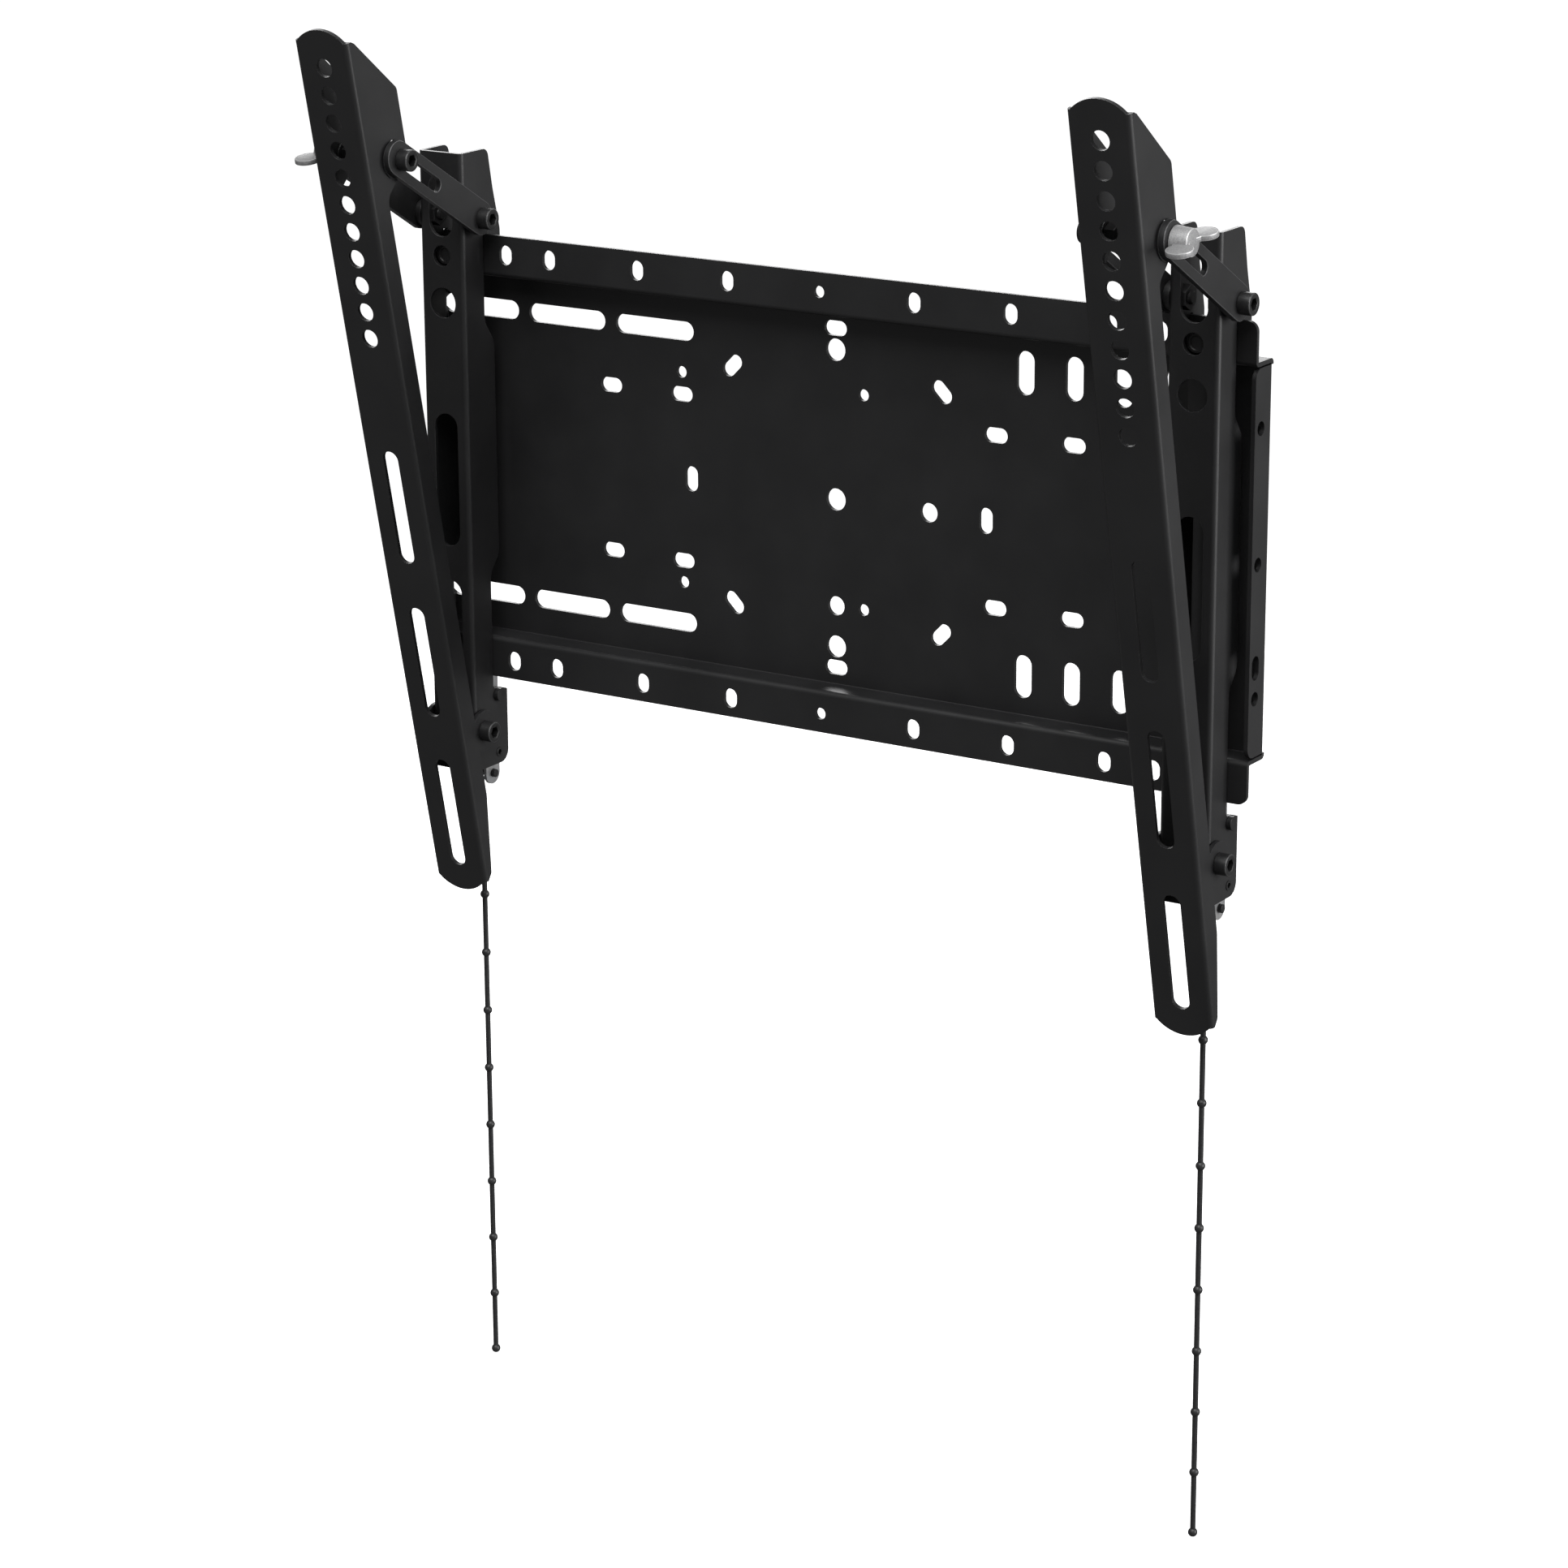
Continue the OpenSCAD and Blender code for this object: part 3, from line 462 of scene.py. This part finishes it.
for side, x in sides:
    low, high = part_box(side + "_stay_pivot_screws")
    pivots = bmesh.new()
    middle = ((low[1] + high[1]) / 2, (low[2] + high[2]) / 2)
    head_length = 6.0 * MM
    for outward in (-1, 1):
        under_head = (high[0] - low[0]) / 2 - head_length
        cap_screw(pivots, (x + outward * under_head, *middle), (outward, 0, 0), (high[2] - low[2]) / 2,
                  head_length, 3.0 * MM, under_head - 4.0 * MM)
    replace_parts(finished(side + "_stay_cap_screws", pivots, black_oxide, side + "_bracket",
                         edge_material=worn_and_highlit_oxide), side + "_stay_pivot_screws")
    softened(side + "_stay_pivot_nuts", side + "_pivot_nuts", side + "_bracket", black_oxide,
             0.3 * MM, 2, worn_and_highlit_oxide)
    softened(side + "_stay_spacers", side + "_pivot_spacers", side + "_bracket", black_oxide,
             0.3 * MM)


# Wing bolts
# The hand screw on the outer side of each arm, with a tapered round hub and two flat round wings, which
# clamps the outer stay. It is a zinc die casting with a grainy satin skin, and its rounded edges are rubbed
# and painted lighter as a highlight.

zinc_casting, nodes, links, surface = shader("satin_zinc_casting", (0.3, 0.3, 0.3), 0.55, 0.25)
skin = noise(nodes, links, 1500.0, 5.0)
patches = noise(nodes, links, 170.0, 3.0)
links.new(remap(nodes, links, patches, 0.5, 0.62), surface.inputs["Roughness"])
links.new(mottled(nodes, links, skin, (0.23, 0.23, 0.235), (0.38, 0.38, 0.38)),
          surface.inputs["Base Color"])
relief(nodes, links, skin, 0.3, 0.08 * MM, surface)

# A lighter zinc for the rims: a painted highlight, where the casting is also rubbed.
rubbed_and_highlit_zinc, nodes, links, surface = shader("rubbed_and_painted_highlight_zinc_edge", (0.6, 0.6, 0.6), 0.4, 0.4)
zinc_edge_mottle = noise(nodes, links, 600.0, 3.0)
links.new(remap(nodes, links, zinc_edge_mottle, 0.34, 0.46), surface.inputs["Roughness"])
links.new(mottled(nodes, links, zinc_edge_mottle, (0.5, 0.5, 0.5), (0.68, 0.68, 0.68)), surface.inputs["Base Color"])
relief(nodes, links, zinc_edge_mottle, 0.1, 0.03 * MM, surface)

wing_tilt = math.radians(11.0)
wing_thickness, lobe_radius, neck_half_angle = 2.4 * MM, 6.0 * MM, math.radians(37.0)
lobe_out, lobe_across = 27.0 * MM, 11.0 * MM
root_out, root_across = 23.0 * MM, 1.5 * MM
shank_tip, shank_radius, tip_chamfer = 4.0 * MM, 3.0 * MM, 0.5 * MM
hub_start, hub_end, foot_chamfer = 19.1 * MM, 27.4 * MM, 0.3 * MM
hub_foot_radius, hub_end_radius = 6.8 * MM, 6.0 * MM
cast_rim, tiny = 0.35 * MM, 0.01 * MM

for side, x in sides:
    outward = -1 if x < 0 else 1
    low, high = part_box(side + "_wing_bolt")
    bolt = bmesh.new()
    profile = [(shank_tip, 0.0), (shank_tip, shank_radius - tip_chamfer),
               (shank_tip + tip_chamfer, shank_radius), (hub_start, shank_radius),
               (hub_start, hub_foot_radius - foot_chamfer), (hub_start + foot_chamfer, hub_foot_radius),
               (hub_end, hub_end_radius), (hub_end, 0.0)]
    points = [bolt.verts.new((along, radius, 0.0)) for along, radius in profile]
    lines = [bolt.edges.new(pair) for pair in zip(points, points[1:])]
    bmesh.ops.spin(bolt, geom=points + lines, cent=(0, 0, 0), axis=(1, 0, 0), angle=math.tau, steps=48,
                   use_merge=True)
    bmesh.ops.remove_doubles(bolt, verts=bolt.verts, dist=0.001 * MM)
    rims = [e for e in bolt.edges if min(v.co.x for v in e.verts) > hub_end - tiny
            and min(v.co.yz.length for v in e.verts) > hub_end_radius - tiny]
    for way in (-1, 1):
        lobe = Vector((lobe_out, way * lobe_across, 0.0))
        to_hub = Vector((root_out, way * root_across, 0.0)) - lobe
        outline = bmesh.ops.create_circle(bolt, segments=48, radius=lobe_radius, cap_ends=True)["verts"]
        neck = [v for v in outline if v.co.angle(to_hub) < neck_half_angle]
        bmesh.ops.translate(bolt, verts=neck, vec=to_hub)
        bmesh.ops.translate(bolt, verts=outline, vec=lobe - Vector((0.0, 0.0, wing_thickness / 2)))
        blade_face = {f for v in outline for f in v.link_faces}
        raised = bmesh.ops.extrude_face_region(bolt, geom=list(blade_face))["geom"]
        upper = [g for g in raised if isinstance(g, bmesh.types.BMVert)]
        bmesh.ops.translate(bolt, verts=upper, vec=(0.0, 0.0, wing_thickness))
        blade = set(outline) | set(upper)
        rims += [e for e in bolt.edges if set(e.verts) <= blade
                 and abs(e.verts[0].co.z - e.verts[1].co.z) < 0.1 * MM]
    rounded = bmesh.ops.bevel(bolt, geom=rims, offset=cast_rim, offset_type="OFFSET", affect="EDGES",
                              segments=2, profile=0.5, material=-1, clamp_overlap=True)["faces"]
    # The rounded rims take the lighter zinc, a painted highlight.
    for face in rounded:
        face.material_index = 1
    middle = Matrix.Translation((x, (low[1] + high[1]) / 2, (low[2] + high[2]) / 2))
    turned = Matrix.Diagonal((outward, 1, 1, 1)) @ Matrix.Rotation(wing_tilt, 4, "X")
    bmesh.ops.transform(bolt, matrix=middle @ turned, verts=bolt.verts)
    bmesh.ops.recalc_face_normals(bolt, faces=bolt.faces)
    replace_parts(finished(side + "_cast_wing_bolt", bolt, zinc_casting, side + "_wing",
                         edge_material=rubbed_and_highlit_zinc), side + "_wing_bolt")


# Clamp screws, washers and nuts
# The inner side of each arm has a plain black cap screw in place of the wing bolt.
# Wide washers bear on the rail, small ones on its inside, and a hexagon nut closes each stack.

for side, x in sides:
    low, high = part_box(side + "_clamp_screw")
    inward = 1 if x < 0 else -1
    head_length = 6.0 * MM
    head_end, tip = (high[0], low[0]) if inward > 0 else (low[0], high[0])
    clamp = bmesh.new()
    seat = (head_end - inward * head_length, (low[1] + high[1]) / 2, (low[2] + high[2]) / 2)
    cap_screw(clamp, seat, (inward, 0, 0), (high[2] - low[2]) / 2, head_length, 3.0 * MM,
              abs(seat[0] - tip))
    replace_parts(finished(side + "_clamp_cap_screw", clamp, black_oxide, side + "_clamp",
                         edge_material=worn_and_highlit_oxide), side + "_clamp_screw")
    softened(side + "_clamp_washers", side + "_round_washers", side + "_clamp", black_oxide,
             0.2 * MM, 2, worn_and_highlit_oxide)
    softened(side + "_clamp_nuts", side + "_hexagon_nuts", side + "_clamp", black_oxide,
             0.3 * MM, 2, worn_and_highlit_oxide)


# Latch plates and their pins
# A bright zinc plated strip slides inside each bracket's foot and hooks the lower rail from behind.
# The black cross pin through its tail carries the pull cord.

zinc_plate, nodes, links, surface = shader("bright_zinc_plating", (0.6, 0.61, 0.63), 0.36, 0.85)
rolled = noise(nodes, links, 240.0, 4.0, (1.0, 1.0, 0.06))
cloud = noise(nodes, links, 60.0, 3.0)
links.new(remap(nodes, links, rolled, 0.3, 0.44), surface.inputs["Roughness"])
links.new(mottled(nodes, links, cloud, (0.55, 0.57, 0.60), (0.66, 0.66, 0.66)),
          surface.inputs["Base Color"])
relief(nodes, links, rolled, 0.12, 0.04 * MM, surface)

for side, x in sides:
    softened(side + "_latch_plate", side + "_sliding_latch", side + "_latch", zinc_plate, 0.2 * MM)
    softened(side + "_latch_pin", side + "_cross_pin", side + "_latch", black_oxide, 0.3 * MM)


# Latch rivets
# A tubular rivet crosses each bracket's foot as the spring's seat, with its rims rolled over.
# Two button-headed pins above it guide the sliding latch.

for side, x in sides:
    softened(side + "_latch_rivets", side + "_rivets_and_buttons", side + "_bracket",
             black_oxide, 0.25 * MM, 3)


# Latch springs
# A plated wire compression spring stands on each tubular rivet and pushes the latch up.
# It is cold wound, and the latch presses it together as the cord is pulled.

spring_steel, nodes, links, surface = shader("plated_spring_wire", (0.42, 0.42, 0.43), 0.32, 0.9)
drawn = noise(nodes, links, 700.0, 3.0)
links.new(remap(nodes, links, drawn, 0.26, 0.4), surface.inputs["Roughness"])
links.new(mottled(nodes, links, drawn, (0.36, 0.36, 0.37), (0.5, 0.5, 0.51)), surface.inputs["Base Color"])
relief(nodes, links, drawn, 0.1, 0.02 * MM, surface)

for side, x in sides:
    low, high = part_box(side + "_latch_spring")
    wire_radius, latch_travel = 0.5 * MM, 10.5 * MM
    turns, steps_a_turn = 6, 32
    coil_gap, top_gap = 0.1 * MM, 0.2 * MM
    coil_radius = (high[0] - low[0]) / 2 - wire_radius - coil_gap
    middle_y = (low[1] + high[1]) / 2
    rise = high[2] - low[2] - 2 * wire_radius
    coil = bmesh.new()
    section = bmesh.ops.create_circle(coil, segments=12, radius=wire_radius, cap_ends=True)
    bmesh.ops.rotate(coil, verts=section["verts"], cent=(0, 0, 0),
                     matrix=Matrix.Rotation(math.radians(90), 3, "X"))
    bmesh.ops.translate(coil, verts=section["verts"], vec=(x + coil_radius, middle_y, low[2] + wire_radius))
    steps = turns * steps_a_turn
    bmesh.ops.spin(coil, geom=list(coil.verts) + list(coil.edges) + list(coil.faces), cent=(x, middle_y, 0),
                   axis=(0, 0, 1), dvec=(0, 0, rise / steps), angle=math.tau * turns, steps=steps,
                   use_duplicate=False)
    bmesh.ops.recalc_face_normals(coil, faces=coil.faces)
    spring = finished(side + "_coil_spring", coil, spring_steel, side + "_bracket", 60.0)
    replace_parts(spring, side + "_latch_spring")
    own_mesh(spring)


low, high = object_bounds()
